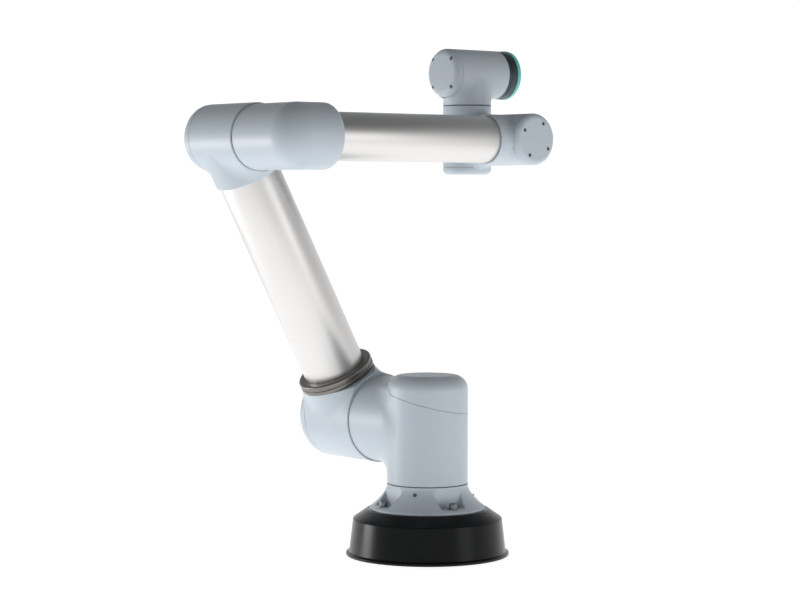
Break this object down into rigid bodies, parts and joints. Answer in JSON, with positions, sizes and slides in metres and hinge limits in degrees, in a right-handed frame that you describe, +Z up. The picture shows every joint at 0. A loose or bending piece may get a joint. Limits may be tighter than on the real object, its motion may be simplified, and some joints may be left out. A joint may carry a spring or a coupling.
{
  "type": "collaborative robot arm",
  "caption": "Six-axis collaborative robot arm with bare metal tubes, rounded joint castings and a lit tool flange, bolted on a round black riser.",
  "frame": {"origin": "centre of the round riser's underside, where it is bolted down", "axes": "+Z up, out of the mounting surface; +X from the elbow to the wrist along the forearm at rest; +Y from the base axis towards the upper arm, along the shoulder, elbow and wrist 1 axes"},
  "size_m": [0.6135, 0.398, 0.8542],
  "materials": {
    "casting_paint": "satin",
    "bare_tube": "satin",
    "clamp_metal": "satin",
    "riser_black": "gloss",
    "tool_dark": "satin",
    "light_teal": "gloss",
    "bolt_steel": "satin",
    "connector_black": "matte",
    "motor_iron": "matte",
    "shaft_steel": "satin",
    "reducer_steel": "satin",
    "bearing_steel": "polished",
    "circuit_green": "satin"
  },
  "bodies": {
    "base": {"riser_body": "riser_black", "riser_bottom_plate": "riser_black", "base_housing": "casting_paint", "base_connector": "connector_black", "base_bolt_1": "bolt_steel", "base_bolt_2": "bolt_steel", "base_bolt_3": "bolt_steel", "base_bolt_4": "bolt_steel", "base_strain_wave_cup": "reducer_steel"},
    "shoulder": {"shoulder_housing": "casting_paint", "shoulder_cap": "casting_paint", "base_output_bearing": "bearing_steel", "base_stator": "motor_iron", "base_drive_board": "circuit_green", "shoulder_strain_wave_cup": "reducer_steel"},
    "upper_arm": {"upper_arm_shoulder_housing": "casting_paint", "upper_arm_shoulder_cap": "casting_paint", "upper_arm_clamp_ring": "clamp_metal", "upper_arm_tube": "bare_tube", "upper_arm_elbow_housing": "casting_paint", "upper_arm_elbow_cap": "casting_paint", "shoulder_output_bearing": "bearing_steel", "shoulder_stator": "motor_iron", "shoulder_drive_board": "circuit_green", "elbow_output_bearing": "bearing_steel", "elbow_stator": "motor_iron", "elbow_drive_board": "circuit_green"},
    "forearm": {"forearm_elbow_housing": "casting_paint", "forearm_tube": "bare_tube", "forearm_wrist_housing": "casting_paint", "forearm_wrist_cap": "casting_paint", "elbow_strain_wave_cup": "reducer_steel", "wrist_1_output_bearing": "bearing_steel", "wrist_1_stator": "motor_iron", "wrist_1_drive_board": "circuit_green"},
    "wrist_1": {"wrist_1_housing": "casting_paint", "wrist_1_cap": "casting_paint", "wrist_1_strain_wave_cup": "reducer_steel", "wrist_2_output_bearing": "bearing_steel", "wrist_2_stator": "motor_iron", "wrist_2_drive_board": "circuit_green"},
    "wrist_2": {"wrist_2_housing": "casting_paint", "wrist_2_cap": "casting_paint", "wrist_2_strain_wave_cup": "reducer_steel", "wrist_3_output_bearing": "bearing_steel", "wrist_3_stator": "motor_iron", "wrist_3_drive_board": "circuit_green"},
    "wrist_3": {"tool_flange": "tool_dark", "tool_light_ring": "light_teal", "tool_connector": "connector_black", "wrist_3_strain_wave_cup": "reducer_steel"},
    "base_rotor": {"base_rotor": "shaft_steel"},
    "shoulder_rotor": {"shoulder_rotor": "shaft_steel"},
    "elbow_rotor": {"elbow_rotor": "shaft_steel"},
    "wrist_1_rotor": {"wrist_1_rotor": "shaft_steel"},
    "wrist_2_rotor": {"wrist_2_rotor": "shaft_steel"},
    "wrist_3_rotor": {"wrist_3_rotor": "shaft_steel"}
  },
  "joints": [
    {"name": "base_joint", "type": "hinge", "parent": "base", "child": "shoulder", "pos_m": [0, 0, 0.1191], "axis": [0, 0, 1], "range_deg": [-175, 175]},
    {"name": "shoulder_joint", "type": "hinge", "parent": "shoulder", "child": "upper_arm", "pos_m": [0, 0.12, 0.2181], "axis": [0, 1, 0], "range_deg": [-75, 75]},
    {"name": "elbow_joint", "type": "hinge", "parent": "upper_arm", "child": "forearm", "pos_m": [-0.25769, 0.12, 0.6931], "axis": [0, -1, 0], "range_deg": [-30, 265]},
    {"name": "wrist_1_joint", "type": "hinge", "parent": "forearm", "child": "wrist_1", "pos_m": [0.20651, 0.075, 0.6931], "axis": [0, 1, 0], "range_deg": [-175, 175]},
    {"name": "wrist_2_joint", "type": "hinge", "parent": "wrist_1", "child": "wrist_2", "pos_m": [0.20651, 0.1372, 0.755], "axis": [0, 0, 1], "range_deg": [-175, 175]},
    {"name": "wrist_3_joint", "type": "hinge", "parent": "wrist_2", "child": "wrist_3", "pos_m": [0.27, 0.1372, 0.8108], "axis": [1, 0, 0], "range_deg": [-175, 175]},
    {"name": "base_rotor_spin", "type": "hinge", "parent": "shoulder", "child": "base_rotor", "pos_m": [0, 0, 0.1191], "axis": [0, 0, 1], "range_deg": [-17600, 17600]},
    {"name": "shoulder_rotor_spin", "type": "hinge", "parent": "upper_arm", "child": "shoulder_rotor", "pos_m": [0, 0.12, 0.2181], "axis": [0, 1, 0], "range_deg": [-7600, 7600]},
    {"name": "elbow_rotor_spin", "type": "hinge", "parent": "upper_arm", "child": "elbow_rotor", "pos_m": [-0.25769, 0.12, 0.6931], "axis": [0, -1, 0], "range_deg": [-26600, 3100]},
    {"name": "wrist_1_rotor_spin", "type": "hinge", "parent": "forearm", "child": "wrist_1_rotor", "pos_m": [0.20651, 0.075, 0.6931], "axis": [0, 1, 0], "range_deg": [-17600, 17600]},
    {"name": "wrist_2_rotor_spin", "type": "hinge", "parent": "wrist_1", "child": "wrist_2_rotor", "pos_m": [0.20651, 0.1372, 0.755], "axis": [0, 0, 1], "range_deg": [-17600, 17600]},
    {"name": "wrist_3_rotor_spin", "type": "hinge", "parent": "wrist_2", "child": "wrist_3_rotor", "pos_m": [0.27, 0.1372, 0.8108], "axis": [1, 0, 0], "range_deg": [-17600, 17600]}
  ],
  "couplings": [
    {"joint": "base_rotor_spin", "follows": "base_joint", "ratio": 100},
    {"joint": "shoulder_rotor_spin", "follows": "shoulder_joint", "ratio": 100},
    {"joint": "elbow_rotor_spin", "follows": "elbow_joint", "ratio": -100},
    {"joint": "wrist_1_rotor_spin", "follows": "wrist_1_joint", "ratio": -100},
    {"joint": "wrist_2_rotor_spin", "follows": "wrist_2_joint", "ratio": -100},
    {"joint": "wrist_3_rotor_spin", "follows": "wrist_3_joint", "ratio": -100}
  ]
}
